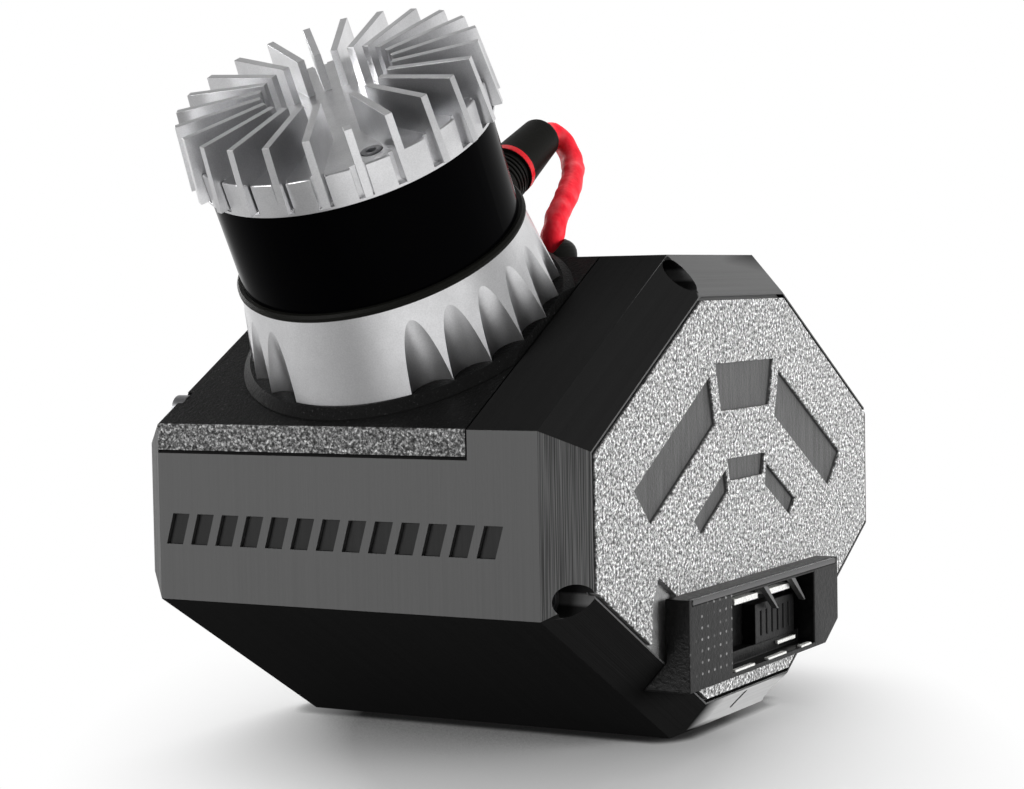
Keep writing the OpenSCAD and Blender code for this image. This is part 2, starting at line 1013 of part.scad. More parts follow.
module battery_pack() {
    size = battery_high - battery_low;
    color("royalblue")
    along_x(battery_low[0], battery_high[0])
        translate([(battery_low[1] + battery_high[1])/2, (battery_low[2] + battery_high[2])/2])
            rounded_rect(size[1], size[2], 6);
}

module battery_strap() {
    band = 1.2;
    low = [-7, battery_low[1] - band, battery_low[2]];
    high = [7, battery_high[1] + band, battery_high[2] + band];
    color("black")
    difference() {
        block(low, high);
        block([-8, battery_low[1], battery_low[2] - 1],
              [8, battery_high[1], battery_high[2]]);
    }
}

module control_board() {
    color("darkgreen")
    block([-46, -22, board_z], [42, 64, board_z + board_t]);
}

module board_standoffs() {
    color("gold")
    for (p = standoff_xy)
        translate([p[0], p[1], upper_shelf_z[1]])
            cylinder(r = 2.5, h = board_z - upper_shelf_z[1], $fn = 6);
}

module board_heatsink() {
    foot = board_z + board_t;
    color("silver") {
        block([-22, 18, foot], [18, 54, foot + 3]);
        for (i = [0:7])
            block([-22 + 5.5*i, 18, foot + 2.9], [-20.5 + 5.5*i, 54, foot + 11]);
    }
}

module lead_connector() {
    color("white")
    block([gland_xy[0] - 7, gland_xy[1] - 5, board_z + board_t],
          [gland_xy[0] + 7, gland_xy[1] + 5, lead_bottom]);
}

module motion_unit() {
    color("orange")
    block([-40, -16, board_z + board_t], [-22, 2, board_z + board_t + 7]);
}

module power_board() {
    color("darkgreen")
    block([power_x[0], power_low[0], power_low[1]], [power_x[1], power_high[0], power_high[1]]);
}

module power_standoffs() {
    color("gold")
    for (p = power_corners)
        rod_x(power_x[1], frame_x[0], p, 2.5);
}

// ---- Assembly --------------------------------------------------------------

housing_shell();
left_end_cap();
end_plate();
right_end_screws();
left_end_screws();
sensor_lid();
lid_screws();
sensor_screws();
sensor_base();
window_gasket();
optical_window();
sensor_top_plate();
heatsink_cap();
cap_screws();
sensor_socket();
plug_body();
plug_sleeve();
plug_ring();
plug_boot();
sensor_lead();
cable_gland();
gland_nut();
dock_block();
dock_rail();
dock_terminal();
dock_contacts();
dock_ribs();
dock_lead();
rotor_shaft();
lower_bearing();
upper_bearing();
rotor_turret();
receiver_lens();
emitter_lens();
laser_board();
magnet_ring();
motor_stator();
encoder_disc();
sensor_board();
chassis_frame();
battery_pack();
battery_strap();
control_board();
board_standoffs();
board_heatsink();
lead_connector();
motion_unit();
power_board();
power_standoffs();
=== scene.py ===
"""Looks for a portable laser scanner: an octagonal printed housing that carries a tilted spinning
sensor with a finned cap, a red lead and a dock. All lengths are metres in the frame of the CAD model:
the origin is the middle of the flat bottom, +X the dock end, -Y the front face and +Z up."""

import math

import bpy
from mathutils import Matrix, Vector, noise


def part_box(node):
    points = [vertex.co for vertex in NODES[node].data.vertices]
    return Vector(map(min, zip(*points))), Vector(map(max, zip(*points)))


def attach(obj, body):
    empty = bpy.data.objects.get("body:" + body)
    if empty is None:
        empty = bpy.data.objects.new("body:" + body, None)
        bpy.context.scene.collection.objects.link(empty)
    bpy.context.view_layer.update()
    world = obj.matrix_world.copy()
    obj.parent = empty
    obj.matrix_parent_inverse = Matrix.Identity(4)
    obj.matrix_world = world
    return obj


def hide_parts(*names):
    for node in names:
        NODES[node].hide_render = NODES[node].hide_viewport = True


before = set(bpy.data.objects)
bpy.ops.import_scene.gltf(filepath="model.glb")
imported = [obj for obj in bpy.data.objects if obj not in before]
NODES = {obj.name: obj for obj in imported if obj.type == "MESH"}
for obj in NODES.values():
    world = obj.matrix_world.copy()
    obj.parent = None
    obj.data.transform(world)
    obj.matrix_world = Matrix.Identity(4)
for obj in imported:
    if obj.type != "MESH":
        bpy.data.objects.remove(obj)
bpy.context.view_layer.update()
MM = 0.001


# ---- Shader helpers ----------------------------------------------------------


class Finish:
    """A procedural material: a Principled shader, with short calls that add the nodes it needs."""

    def __init__(self, name, **sockets):
        self.material = bpy.data.materials.new(name)
        self.material.use_nodes = True
        self.tree = self.material.node_tree
        self.shader = self.tree.nodes["Principled BSDF"]
        self.place = self.add("ShaderNodeTexCoord").outputs["Object"]
        for socket, value in sockets.items():
            self.shader.inputs[socket.replace("_", " ")].default_value = value

    def add(self, kind, **settings):
        node = self.tree.nodes.new(kind)
        for name, value in settings.items():
            setattr(node, name, value)
        return node

    def link(self, source, socket):
        self.tree.links.new(source, socket)

    def put(self, value, socket):
        """Links an output, or sets a plain value."""
        if isinstance(value, bpy.types.NodeSocket):
            self.link(value, socket)
        else:
            socket.default_value = value

    def stretched(self, scale):
        mapping = self.add("ShaderNodeMapping")
        mapping.inputs["Scale"].default_value = scale
        self.link(self.place, mapping.inputs["Vector"])
        return mapping.outputs["Vector"]

    def noise(self, scale, detail=2.0, rough=0.5):
        """Noise with its features a metre over scale across, on each axis."""
        texture = self.add("ShaderNodeTexNoise")
        texture.inputs["Scale"].default_value = 1.0
        texture.inputs["Detail"].default_value = detail
        texture.inputs["Roughness"].default_value = rough
        size = scale if isinstance(scale, tuple) else (scale, scale, scale)
        self.link(self.stretched(size), texture.inputs["Vector"])
        return texture.outputs["Fac"]

    def grains(self, scale):
        """A random value for each grain of a fine speckle."""
        cells = self.add("ShaderNodeTexVoronoi")
        cells.inputs["Scale"].default_value = scale
        self.link(self.place, cells.inputs["Vector"])
        parts = self.add("ShaderNodeSeparateColor")
        self.link(cells.outputs["Color"], parts.inputs["Color"])
        return parts.outputs[0]

    def ramp(self, factor, *stops):
        """Grey levels or colours at places from 0 to 1."""
        node = self.add("ShaderNodeValToRGB")
        points = node.color_ramp.elements
        while len(points) < len(stops):
            points.new(0.5)
        for point, (place, value) in zip(points, stops):
            point.position = place
            point.color = (*value, 1) if isinstance(value, tuple) else (value, value, value, 1)
        self.link(factor, node.inputs["Fac"])
        return node.outputs["Color"]

    def math(self, operation, first, second=0.0):
        node = self.add("ShaderNodeMath", operation=operation)
        self.put(first, node.inputs[0])
        self.put(second, node.inputs[1])
        return node.outputs[0]

    def inverse(self, value):
        return self.math("SUBTRACT", 1.0, value)

    def mix(self, factor, first, second, blend="MIX"):
        node = self.add("ShaderNodeMix", data_type="RGBA", blend_type=blend)
        self.put(factor, node.inputs["Factor"])
        for value, socket in ((first, node.inputs["A"]), (second, node.inputs["B"])):
            if isinstance(value, float):
                value = (value, value, value, 1)
            elif isinstance(value, tuple) and len(value) == 3:
                value = (*value, 1)
            self.put(value, socket)
        return node.outputs["Result"]

    def facing(self, axis, low, high):
        """0 to 1 as the surface's tilt towards an axis, either way, goes from low to high."""
        parts = self.add("ShaderNodeSeparateXYZ")
        self.link(self.add("ShaderNodeNewGeometry").outputs["Normal"], parts.inputs[0])
        return self.ramp(self.math("ABSOLUTE", parts.outputs[axis]), (low, 0.0), (high, 1.0))

    def along(self, axis, low, high):
        """0 below the place low on an axis of the frame, 1 above high, in metres."""
        parts = self.add("ShaderNodeSeparateXYZ")
        self.link(self.place, parts.inputs[0])
        span = self.add("ShaderNodeMapRange")
        self.link(parts.outputs[axis], span.inputs["Value"])
        span.inputs["From Min"].default_value = low
        span.inputs["From Max"].default_value = high
        return span.outputs["Result"]

    def colour(self, value):
        self.put(value, self.shader.inputs["Base Color"])
        return self

    def rough(self, value):
        self.put(value, self.shader.inputs["Roughness"])
        return self

    def relief(self, *layers):
        """Bump from (height, depth in metres) pairs, one over the other."""
        below = None
        for height, depth in layers:
            bump = self.add("ShaderNodeBump")
            bump.inputs["Distance"].default_value = depth
            self.link(height, bump.inputs["Height"])
            if below:
                self.link(below, bump.inputs["Normal"])
            below = bump.outputs["Normal"]
        self.link(below, self.shader.inputs["Normal"])
        return self


# ---- Materials ---------------------------------------------------------------

# Grey levels of the housing's print. The chamfer and slope levels are painted shade and the two end
# levels painted light, set by how each face is turned; the slot floor's level is the letters' own
# dark with painted shade.
UPRIGHT = 0.1
SLOT_FLOOR_DARK_AND_SHADE = 0.02
CHAMFER_PAINTED_SHADE = 0.083
SLOPE_PAINTED_SHADE = 0.016
END_SLOPE_PAINTED_LIGHT = 0.13
END_FOOT_PAINTED_LIGHT = 0.75

SATIN_CONTRAST = 0.15


def printed(name):
    """Dark satin print: fine layers stacked along X, rougher where they step back over a chamfer. Its
    grey carries painted light and shade by the way each face is turned: darker on chamfers and much
    darker on slopes, lighter on the sloping faces of the ends and much lighter low down there; the
    slot floors are darker, as the letters' own dark with painted shade.
    """
    finish = Finish(name)
    bands = finish.noise((1100, 6, 6), 3, 0.6)
    layers = finish.noise((4200, 25, 25), 1, 0.5)
    sloping = finish.facing("Z", 0.25, 0.45)
    upright = finish.inverse(sloping)
    slanted = finish.math("SUBTRACT", finish.facing("X", 0.3, 0.5), finish.facing("X", 0.85, 0.95))
    chamfer = finish.math("MULTIPLY", slanted, upright)
    painted_light_faces = finish.math("MULTIPLY", finish.facing("X", 0.5, 0.6),
                       finish.inverse(finish.facing("Y", 0.1, 0.2)))
    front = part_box("housing_shell")[0][1]
    past_face = finish.along("Y", front + 0.4 * MM, front + 0.9 * MM)
    past_slots = finish.along("Y", front + 2 * MM, front + 2.5 * MM)
    sunk = finish.math("MULTIPLY", past_face, finish.inverse(past_slots))
    slots = finish.math("MULTIPLY", sunk, finish.facing("Y", 0.9, 0.95))
    # The slot floors are darker: the letters' own dark, with painted shade in their slots.
    level = finish.mix(slots, UPRIGHT, SLOT_FLOOR_DARK_AND_SHADE)
    # Painted shade: chamfers a little darker, and slopes much darker, than the upright faces, by the
    # way they are turned.
    level = finish.mix(chamfer, level, CHAMFER_PAINTED_SHADE)
    level = finish.mix(sloping, level, SLOPE_PAINTED_SHADE)
    # Painted light: the sloping faces turned to the ends are lighter, and much lighter low down,
    # below 12 to 20 mm.
    above_foot = finish.along("Z", 12 * MM, 20 * MM)
    end_slope_painted_light = finish.mix(above_foot, END_FOOT_PAINTED_LIGHT, END_SLOPE_PAINTED_LIGHT)
    level = finish.mix(finish.math("MULTIPLY", painted_light_faces, sloping), level, end_slope_painted_light)
    even = finish.ramp(bands, (0.3, 0.94), (0.7, 1.06))
    lines = finish.noise((5200, 30, 30), 1, 0.5)
    uneven = finish.ramp(lines, (0.36, 0.45), (0.5, 0.95), (0.64, 1.55))
    finish.colour(finish.mix(1.0, level, finish.mix(chamfer, even, uneven), "MULTIPLY"))
    finish.put(finish.mix(sloping, 0.1, 0.0), finish.shader.inputs["Specular IOR Level"])
    finish.rough(finish.ramp(bands, (0.3, 0.45), (0.7, 0.6)))
    return finish.relief((bands, 0.00006), (layers, 0.00006)).material


def speckle(finish, low, middle, high, glint=1.6):
    """The colour and the relief of print with a metallic speckle in it, with painted glints on its
    brighter grains.
    """
    cloud = finish.noise(1000, 3, 0.65)
    grains = finish.grains(2100)
    spots = finish.ramp(cloud, (0.38, low), (0.5, middle), (0.62, high))
    # The grains' own tone runs from 0.4 up to 1; the brighter half are painted glints, up to glint
    # times as light.
    glints = finish.ramp(grains, (0.0, 0.4), (0.5, 1.0), (0.95, glint))
    finish.relief((cloud, 0.0003), (grains, 0.00012))
    return finish.mix(1.0, spots, glints, "MULTIPLY")


def plate_print():
    """The speckled end plate, with painted glints in the speckle, and plain dark print on the floor
    of its bars.
    """
    finish = Finish("plate_print", Specular_IOR_Level=0.25)
    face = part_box("end_plate")[1][0]
    floor = finish.ramp(finish.noise((4, 900, 60), 3), (0.3, 0.075), (0.7, 0.12))
    sunk = finish.inverse(finish.along("X", face - 0.8 * MM, face - 0.3 * MM))
    bars = finish.math("MULTIPLY", sunk, finish.along("Z", 52 * MM, 55 * MM))
    spots = speckle(finish, 0.06, 0.35, 0.85)
    worn = finish.ramp(finish.noise(400, 3), (0.35, 0.26), (0.65, 0.34))
    finish.colour(finish.mix(bars, finish.mix(sunk, spots, worn), floor))
    return finish.rough(0.5).material


def lid_print():
    """The lid: speckled grey on its front edge, with painted glints in the speckle; black on its
    slope as painted shade, with a few bright specks that are painted glints.
    """
    finish = Finish("lid_print", Specular_IOR_Level=0.02)
    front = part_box("sensor_lid")[0][1]
    # Painted shade: the slope is near-black, and its few bright specks are painted glints.
    slope = finish.ramp(finish.noise(1500, 3, 0.7), (0.5, 0.008), (0.66, 0.012), (0.74, 0.1))
    back = finish.along("Y", front + 0.3 * MM, front + 0.5 * MM)
    finish.colour(finish.mix(back, speckle(finish, 0.045, 0.13, 0.34, 2.2), slope))
    return finish.rough(0.5).material


def cast(name, base, rough):
    """Finely blasted cast aluminium with a satin sheen."""
    finish = Finish(name, Metallic=1.0)
    sand = finish.noise(2600, 3, 0.6)
    clouds = finish.noise(60, 4, 0.6)
    tone = finish.ramp(clouds, (0.35, tuple(0.85 * c for c in base)), (0.65, base))
    finish.colour(finish.mix(1.0, tone, finish.ramp(sand, (0.3, 0.92), (0.7, 1.06)), "MULTIPLY"))
    finish.rough(finish.ramp(clouds, (0.35, rough + 0.06), (0.65, rough)))
    return finish.relief((sand, 0.00002)).material


def jacket(name):
    """A red jacket, mottled where its wrap has shrunk unevenly."""
    finish = Finish(name, Specular_IOR_Level=0.12)
    patches = finish.noise((190, 190, 130), 3, 0.6)
    finish.colour(finish.ramp(patches, (0.3, (0.8, 0.01, 0.024)), (0.5, (1.0, 0.03, 0.05)),
                              (0.7, (1.0, 0.1, 0.12))))
    return finish.rough(0.5).relief((patches, 0.0004), (finish.noise(1200, 2), 0.00005)).material


def gloss(name, base, rough, specular=0.5, coat=0.0):
    """Polished plastic or glass with the faint unevenness of handling."""
    finish = Finish(name, Specular_IOR_Level=specular, Coat_Weight=coat)
    marks = finish.noise(40, 4, 0.6)
    finish.colour(finish.mix(marks, tuple(0.85 * c for c in base), tuple(1.15 * c for c in base)))
    finish.rough(finish.ramp(marks, (0.35, rough), (0.75, rough + 0.08)))
    return finish.material


def satin(name, base, rough, grain=1500, depth=0.00006, specular=0.4):
    """Moulded plastic or rubber with a fine grain."""
    finish = Finish(name, Specular_IOR_Level=specular)
    fine = finish.noise(grain, 3, 0.6)
    low = tuple(c * (1 - SATIN_CONTRAST) for c in base)
    high = tuple(c * (1 + SATIN_CONTRAST) for c in base)
    finish.colour(finish.ramp(fine, (0.3, low), (0.7, high)))
    finish.rough(finish.ramp(fine, (0.3, rough - 0.06), (0.7, rough + 0.06)))
    return finish.relief((fine, depth)).material


def dock_plastic():
    """Near-black dock plastic, with rows of small light dots on the front of its left part, which are
    painted glints.
    """
    finish = Finish("dock_plastic", Specular_IOR_Level=0.15)
    fine = finish.noise(900, 3, 0.6)
    plain = finish.ramp(fine, (0.3, 0.002), (0.7, 0.007))
    grid = finish.add("ShaderNodeTexVoronoi")
    grid.inputs["Scale"].default_value = 1.0
    grid.inputs["Randomness"].default_value = 0.0
    finish.link(finish.stretched((0, 260, 330)), grid.inputs["Vector"])
    # Painted glints: rows of light grey dots on the near-black.
    dots = finish.ramp(grid.outputs["Distance"], (0.09, 1.0), (0.16, 0.0))
    for axis, low, high in (("X", 74.2, 74.6), ("Y", -54, -53), ("Z", 20, 21)):
        dots = finish.math("MULTIPLY", dots, finish.along(axis, low * MM, high * MM))
    dots = finish.math("MULTIPLY", dots, finish.ramp(finish.noise(130, 1), (0.42, 0.0), (0.58, 1.0)))
    for axis, low, high in (("Y", -27, -26), ("Z", 40, 41)):
        outside = finish.along(axis, low * MM, high * MM)
        dots = finish.math("MULTIPLY", dots, finish.inverse(outside))
    finish.colour(finish.mix(dots, plain, 0.25))
    finish.rough(finish.ramp(fine, (0.3, 0.28), (0.7, 0.42)))
    return finish.relief((fine, 0.00012)).material


def metal(name, base, rough):
    """Brushed or turned metal."""
    finish = Finish(name, Metallic=1.0)
    brush = finish.noise((900, 900, 60), 3, 0.6)
    finish.colour(finish.ramp(brush, (0.3, tuple(0.85 * c for c in base)), (0.7, base)))
    finish.rough(finish.ramp(brush, (0.3, rough), (0.7, rough + 0.12)))
    return finish.relief((brush, 0.00003)).material


def board(name):
    """Solder mask with copper tracks under it."""
    finish = Finish(name, Specular_IOR_Level=0.5)
    tracks = finish.add("ShaderNodeTexBrick")
    tracks.inputs["Scale"].default_value = 90
    tracks.inputs["Color1"].default_value = (0.006, 0.06, 0.025, 1)
    tracks.inputs["Color2"].default_value = (0.008, 0.075, 0.03, 1)
    tracks.inputs["Mortar"].default_value = (0.02, 0.12, 0.05, 1)
    finish.link(finish.place, tracks.inputs["Vector"])
    finish.colour(tracks.outputs["Color"])
    finish.rough(finish.ramp(finish.noise(300), (0.3, 0.3), (0.7, 0.42)))
    return finish.material


MATERIALS = {
    "housing": printed("housing_print"),
    "plate": plate_print(),
    "lid": lid_print(),
    "aluminium": cast("cast_aluminium", (0.78, 0.78, 0.79), 0.28),
    "window": gloss("dark_window", (0.0008, 0.0008, 0.001), 0.1, 0.008),
    "rubber": satin("seal_rubber", (0.007, 0.007, 0.006), 0.5, specular=0.06),
    "plug": satin("plug_black", (0.01, 0.01, 0.009), 0.45, specular=0.08),
    "red_band": satin("red_band", (0.72, 0.012, 0.02), 0.4),
    "jacket": jacket("red_jacket"),
    "dock": dock_plastic(),
    "rail": gloss("dock_gloss", (0.008, 0.008, 0.009), 0.16, 0.7),
    # The contacts are a light satin in place of metal: their light grey is a painted reflection of
    # the metal.
    "contact": satin("contact_metal", (0.85, 0.85, 0.82), 0.3, specular=0.5),
    "rib": satin("dock_rib", (0.1, 0.1, 0.1), 0.4),
    "steel": metal("screw_steel", (0.30, 0.30, 0.31), 0.35),
    "bearing": metal("bearing_steel", (0.6, 0.6, 0.62), 0.2),
    "lens": gloss("lens_glass", (0.06, 0.03, 0.12), 0.05, 0.6, coat=0.5),
    "board": board("circuit_board"),
    "magnet": metal("magnet_steel", (0.25, 0.25, 0.26), 0.4),
    "copper": metal("motor_copper", (0.72, 0.32, 0.15), 0.35),
    "chassis": satin("frame_print", (0.09, 0.10, 0.12), 0.55),
    "battery": satin("battery_wrap", (0.02, 0.06, 0.32), 0.35),
    "strap": satin("strap_webbing", (0.02, 0.02, 0.02), 0.8, 700, 0.0002),
    "white": satin("connector_white", (0.75, 0.74, 0.70), 0.45),
    "orange": satin("sensor_orange", (0.75, 0.18, 0.03), 0.45),
}

LOOKS = {
    "housing": ["housing_shell", "left_end_cap"],
    "plate": ["end_plate"],
    "lid": ["sensor_lid"],
    "aluminium": ["sensor_base", "heatsink_cap", "sensor_top_plate", "board_heatsink"],
    "window": ["optical_window"],
    "rubber": ["window_gasket", "plug_boot", "dock_lead"],
    "plug": ["sensor_socket", "plug_body", "plug_sleeve", "cable_gland", "gland_nut", "rotor_turret"],
    "red_band": ["plug_ring"],
    "jacket": ["sensor_lead"],
    "dock": ["dock_block", "dock_terminal"],
    "rail": ["dock_rail"],
    "contact": ["dock_contacts", "board_standoffs", "power_standoffs"],
    "rib": ["dock_ribs"],
    "steel": ["right_end_screws", "left_end_screws", "lid_screws", "sensor_screws", "cap_screws"],
    "bearing": ["rotor_shaft", "lower_bearing", "upper_bearing", "encoder_disc"],
    "lens": ["receiver_lens", "emitter_lens"],
    "board": ["laser_board", "sensor_board", "control_board", "power_board"],
    "magnet": ["magnet_ring"],
    "copper": ["motor_stator"],
    "chassis": ["chassis_frame"],
    "battery": ["battery_pack"],
    "strap": ["battery_strap"],
    "white": ["lead_connector"],
    "orange": ["motion_unit"],
}


# Width in millimetres of the rounded edges of each node that has them
ROUNDED = {
    "housing_shell": 0.35, "left_end_cap": 0.35, "end_plate": 0.3, "sensor_lid": 0.3,
    "heatsink_cap": 0.2, "dock_block": 0.4, "dock_rail": 0.3, "dock_terminal": 0.3,
    "dock_contacts": 0.15, "dock_ribs": 0.3, "plug_sleeve": 0.12, "right_end_screws": 0.25,
    "left_end_screws": 0.25, "cap_screws": 0.2,
}
SHARP = math.radians(25)


def dress(node, material):
    """Gives a CAD node its material, and rounds its sharp edges a little."""
    piece = NODES[node]
    piece.data.materials.clear()
    piece.data.materials.append(material)
    if node not in ROUNDED:
        return
    weld = piece.modifiers.new("weld", "WELD")
    weld.merge_threshold = 0.002 * MM
    bevel = piece.modifiers.new("bevel", "BEVEL")
    bevel.width = ROUNDED[node] * MM
    bevel.segments = 2
    bevel.limit_method = "ANGLE"
    bevel.angle_limit = SHARP
    smooth = piece.modifiers.new("smooth", "WEIGHTED_NORMAL")
    smooth.weight = 100


for look, names in LOOKS.items():
    for node in names:
        dress(node, MATERIALS[look])


# ---- Red lead ----------------------------------------------------------------

# In millimetres, from the plug's boot over and down through the gland
LEAD_ROUTE = [
    (-2, 10.3, 167.1), (-2, 14, 168.6), (0, 18, 168), (2.5, 19, 164.5), (5.5, 16.5, 160.5),
    (8, 12.5, 157), (10, 7.5, 154), (12, 2, 151), (13.5, -4, 147.5), (14, -9, 143),
    (14, -12, 137), (14, -12, 128), (14, -12, 119), (14, -12, 110), (14, -12, 100),
]
LEAD_STEPS = 8
LEAD_SIDES = 28
LEAD_RADIUS = 3.35
LUMP_HEIGHT = 0.25
LUMPS_PER_METRE = 260


def smooth_route(route, steps):
    """Points of a smooth curve through the route, in metres."""
    last = len(route) - 1
    points = []
    for i in range(last):
        a, b, c, d = (Vector(route[min(max(i + k, 0), last)]) for k in (-1, 0, 1, 2))
        for t in (k / steps for k in range(steps)):
            linear = (c - a) * t
            square = (2 * a - 5 * b + 4 * c - d) * t ** 2
            cube = (3 * b - a - 3 * c + d) * t ** 3
            points.append(MM * 0.5 * (2 * b + linear + square + cube))
    return points + [MM * Vector(route[last])]


def add_lead():
    """A round jacket with the lumps of a wrapped cable, in place of the CAD's ten-sided one."""
    sides = LEAD_SIDES
    points = smooth_route(LEAD_ROUTE, LEAD_STEPS)
    verts = []
    across = Vector((1, 0, 0))
    for i, point in enumerate(points):
        ahead = (points[min(i + 1, len(points) - 1)] - points[max(i - 1, 0)]).normalized()
        across = (across - ahead * across.dot(ahead)).normalized()
        over = ahead.cross(across)
        for k in range(sides):
            turn = math.tau * k / sides
            out = across * math.cos(turn) + over * math.sin(turn)
            lump = noise.noise((point + out * 3 * MM) * LUMPS_PER_METRE)
            lump = max(-1, min(1, 2 * lump))
            verts.append(point + out * MM * (LEAD_RADIUS + LUMP_HEIGHT * lump))
    faces = []
    for i in range(len(points) - 1):
        for k in range(sides):
            n = (k + 1) % sides
            faces.append((i * sides + k, i * sides + n, (i + 1) * sides + n, (i + 1) * sides + k))
    faces.append(tuple(reversed(range(sides))))
    faces.append(tuple(range(len(verts) - sides, len(verts))))
    mesh = bpy.data.meshes.new("lead")
    mesh.from_pydata(verts, [], faces)
    mesh.polygons.foreach_set("use_smooth", [True] * len(faces))
    mesh.materials.append(MATERIALS["jacket"])
    lead = bpy.data.objects.new("lead", mesh)
    bpy.context.scene.collection.objects.link(lead)
    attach(lead, "housing")
    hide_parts("sensor_lead")


add_lead()


# ---- Stage -------------------------------------------------------------------

CAMERA_PLACE = (0.33164, -0.59968, 0.12448)
CAMERA_ANGLES = (29.453, 2.7318, -1.03665)
LENS = 82.094
SENSOR_WIDTH = 36
STUDIO_LEVEL = 0.22
FLOOR_HALF = 3.0
FLOOR_GREY = 0.6
FLOOR_GLOW = 0.15
FLOOR_BOUNCE = 0.25
# The oval that bounds the painted shadow on the floor: its middle, its turn and its half-lengths in
# metres.
SHADOW_MIDDLE = (0.0148, -0.0261, 0)
SHADOW_TURN = math.radians(29.45)
SHADOW_REACH = (0.13, 0.3, 1)
MIDDLE = (0, 0, 0.08)

# Name, place, size, power in watts, and whether metal and gloss show the lamp
LAMPS = (
    ("front", (-0.5, -1.3, 0.25), (0.9, 0.4), 14, True),
    ("side", (1.1, 0.3, 0.25), (0.9, 0.5), 14, False),
    ("left", (-1.1, 0.3, 0.45), (0.6, 0.5), 6, True),
    ("back", (-0.5, 0.65, 1.2), (1.4, 1.0), 20, False),
)


def add_camera():
    """The viewpoint: in front of the dock end's corner, a little above the floor's level."""
    azimuth, elevation, roll = (math.radians(angle) for angle in CAMERA_ANGLES)
    ahead = Vector((-math.sin(azimuth) * math.cos(elevation),
                    math.cos(azimuth) * math.cos(elevation),
                    -math.sin(elevation)))
    level = Vector((math.cos(azimuth), math.sin(azimuth), 0))
    over = level.cross(ahead)
    right = level * math.cos(roll) + over * math.sin(roll)
    up = over * math.cos(roll) - level * math.sin(roll)
    data = bpy.data.cameras.new("camera")
    data.lens = LENS
    data.sensor_width = SENSOR_WIDTH
    data.sensor_fit = "HORIZONTAL"
    data.clip_end = 20
    camera = bpy.data.objects.new("camera", data)
    turn = Matrix((right, up, -ahead)).transposed().to_4x4()
    camera.matrix_world = Matrix.Translation(CAMERA_PLACE) @ turn
    bpy.context.scene.collection.objects.link(camera)
    bpy.context.scene.camera = camera


def node_math(tree, operation, first, second):
    node = tree.nodes.new("ShaderNodeMath")
    node.operation = operation
    for value, socket in zip((first, second), node.inputs):
        if isinstance(value, float):
            socket.default_value = value
        else:
            tree.links.new(value, socket)
    return node.outputs[0]


def seen(tree):
    """1 for what the camera sees directly, and 1 for what metal and glass show of it."""
    path = tree.nodes.new("ShaderNodeLightPath")
    mirrored = node_math(tree, "MAXIMUM", path.outputs["Is Glossy Ray"],
                         path.outputs["Is Transmission Ray"])
    return path.outputs["Is Camera Ray"], mirrored


def span(tree, value, low, high):
    """0 to 1 as a value goes from low to high."""
    node = tree.nodes.new("ShaderNodeMapRange")
    node.inputs["From Min"].default_value = low
    node.inputs["From Max"].default_value = high
    tree.links.new(value, node.inputs["Value"])
    return node.outputs["Result"]


def coordinates(tree, output):
    place = tree.nodes.new("ShaderNodeTexCoord").outputs[output]
    parts = tree.nodes.new("ShaderNodeSeparateXYZ")
    tree.links.new(place, parts.inputs[0])
    return place, parts.outputs


def background(tree, level, strength):
    node = tree.nodes.new("ShaderNodeBackground")
    node.inputs["Color"].default_value = (level, level, level, 1)
    node.inputs["Strength"].default_value = strength
    return node.outputs[0]


def add_world():
    """A white backdrop, and a dim plain studio that lights the object."""
    world = bpy.data.worlds.new("studio")
    bpy.context.scene.world = world
    world.use_nodes = True
    tree = world.node_tree
    tree.nodes.clear()
    mix = tree.nodes.new("ShaderNodeMixShader")
    direct, mirrored = seen(tree)
    behind = span(tree, coordinates(tree, "Generated")[1]["Y"], 0.25, 0.97)
    white = node_math(tree, "MAXIMUM", direct, node_math(tree, "MULTIPLY", mirrored, behind))
    tree.links.new(white, mix.inputs[0])
    tree.links.new(background(tree, 1.0, STUDIO_LEVEL), mix.inputs[1])
    tree.links.new(background(tree, 1.0, 1.0), mix.inputs[2])
    out = tree.nodes.new("ShaderNodeOutputWorld")
    tree.links.new(mix.outputs[0], out.inputs[0])


def diffuse(tree, level):
    node = tree.nodes.new("ShaderNodeBsdfDiffuse")
    node.inputs["Color"].default_value = (level, level, level, 1)
    return node.outputs[0]


def glow(tree, level):
    node = tree.nodes.new("ShaderNodeEmission")
    node.inputs["Color"].default_value = (level, level, level, 1)
    return node.outputs[0]


def mixed(tree, kind, first, second, factor=None):
    """Two shaders added, or mixed by a factor."""
    node = tree.nodes.new(kind)
    if factor:
        tree.links.new(factor, node.inputs[0])
    for source, socket in zip((first, second), [i for i in node.inputs if i.name == "Shader"]):
        tree.links.new(source, socket)
    return node.outputs[0]


def painted_occlusion_shade(tree, distance, *stops):
    """Painted shade: how open the floor is to the sky within a distance, as a grey level for each of
    the stops, which darkens the floor's colour.
    """
    node = tree.nodes.new("ShaderNodeAmbientOcclusion")
    node.inputs["Distance"].default_value = distance
    node.samples = 8
    ramp = tree.nodes.new("ShaderNodeValToRGB")
    points = ramp.color_ramp.elements
    while len(points) < len(stops):
        points.new(0.5)
    for point, (place, level) in zip(points, stops):
        point.position = place
        point.color = (level, level, level, 1)
    tree.links.new(node.outputs["AO"], ramp.inputs["Fac"])
    return ramp.outputs["Color"]


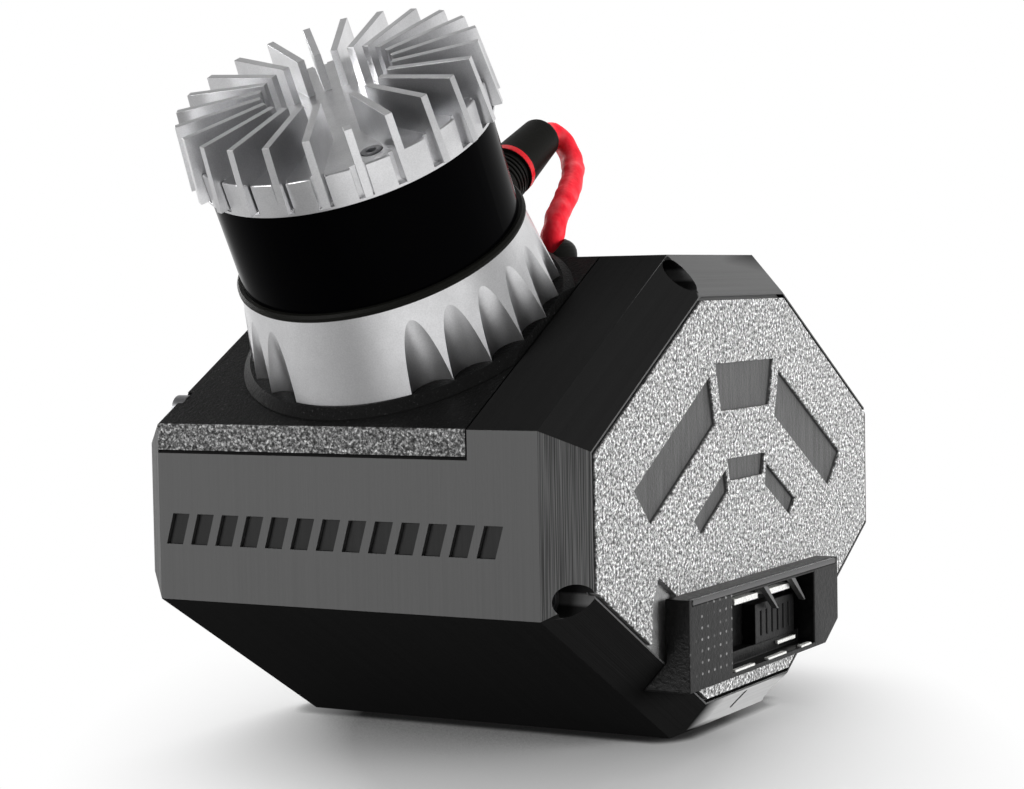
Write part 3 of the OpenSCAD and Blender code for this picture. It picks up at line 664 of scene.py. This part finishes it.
def add_floor():
    """A floor that reads as white, with the object's shadow round its foot: partly cast by the lamps
    and partly painted shade, darkened by how open the floor is to the sky, inside an oval beyond
    which the floor glows white.
    """
    mesh = bpy.data.meshes.new("floor")
    half = FLOOR_HALF
    corners = [(-half, -half, 0), (half, -half, 0), (half, half, 0), (-half, half, 0)]
    mesh.from_pydata(corners, [], [(0, 1, 2, 3)])
    floor = bpy.data.objects.new("floor", mesh)
    bpy.context.scene.collection.objects.link(floor)
    material = bpy.data.materials.new("floor")
    material.use_nodes = True
    tree = material.node_tree
    tree.nodes.clear()
    place, parts = coordinates(tree, "Object")
    oval = tree.nodes.new("ShaderNodeMapping")
    oval.vector_type = "TEXTURE"
    tree.links.new(place, oval.inputs["Vector"])
    oval.inputs["Location"].default_value = SHADOW_MIDDLE
    oval.inputs["Rotation"].default_value = (0, 0, SHADOW_TURN)
    oval.inputs["Scale"].default_value = SHADOW_REACH
    reach = tree.nodes.new("ShaderNodeVectorMath")
    reach.operation = "LENGTH"
    tree.links.new(oval.outputs[0], reach.inputs[0])
    near = mixed(tree, "ShaderNodeAddShader", diffuse(tree, FLOOR_GREY), glow(tree, FLOOR_GLOW))
    # Painted shade on the floor: a soft one from how open it is within 0.25 m, and a thin dark line
    # within 5 mm of the object's foot.
    wide_painted_shade = painted_occlusion_shade(tree, 0.25, (0.03, 0.1), (0.1, 0.64), (0.3, 0.82), (0.5, 0.91), (0.7, 1.0))
    foot = painted_occlusion_shade(tree, 0.005, (0.45, 0.1), (0.95, 1.0))
    shade = node_math(tree, "MULTIPLY", wide_painted_shade, foot)
    near = mixed(tree, "ShaderNodeMixShader", glow(tree, 0.0), near, shade)
    # Beyond an oval round the object the floor glows white, which ends the painted shade and the
    # lamps' shadow there.
    white = mixed(tree, "ShaderNodeMixShader", near, glow(tree, 1.0),
                  span(tree, reach.outputs["Value"], 0.4, 1.0))
    direct, mirrored = seen(tree)
    left = node_math(tree, "MULTIPLY", span(tree, parts["X"], -0.03, -0.25), 0.5)
    sides = node_math(tree, "MAXIMUM", left, span(tree, parts["X"], 0.0, 0.1))
    lit = node_math(tree, "MAXIMUM", sides, span(tree, parts["Y"], 0.05, 0.5))
    share = node_math(tree, "MAXIMUM", direct, node_math(tree, "MULTIPLY", mirrored, lit))
    shown = mixed(tree, "ShaderNodeMixShader", diffuse(tree, FLOOR_BOUNCE), white, share)
    out = tree.nodes.new("ShaderNodeOutputMaterial")
    tree.links.new(shown, out.inputs[0])
    mesh.materials.append(material)


def add_lamp(name, place, size, power, mirrored):
    data = bpy.data.lights.new(name, "AREA")
    data.shape = "RECTANGLE"
    data.size, data.size_y = size
    data.energy = power
    lamp = bpy.data.objects.new(name, data)
    aim = Vector(MIDDLE) - Vector(place)
    lamp.matrix_world = Matrix.Translation(place) @ aim.to_track_quat("-Z", "Y").to_matrix().to_4x4()
    lamp.visible_glossy = mirrored
    bpy.context.scene.collection.objects.link(lamp)


add_camera()
add_world()
add_floor()
for lamp in LAMPS:
    add_lamp(*lamp)

bpy.context.scene.view_settings.view_transform = "Standard"
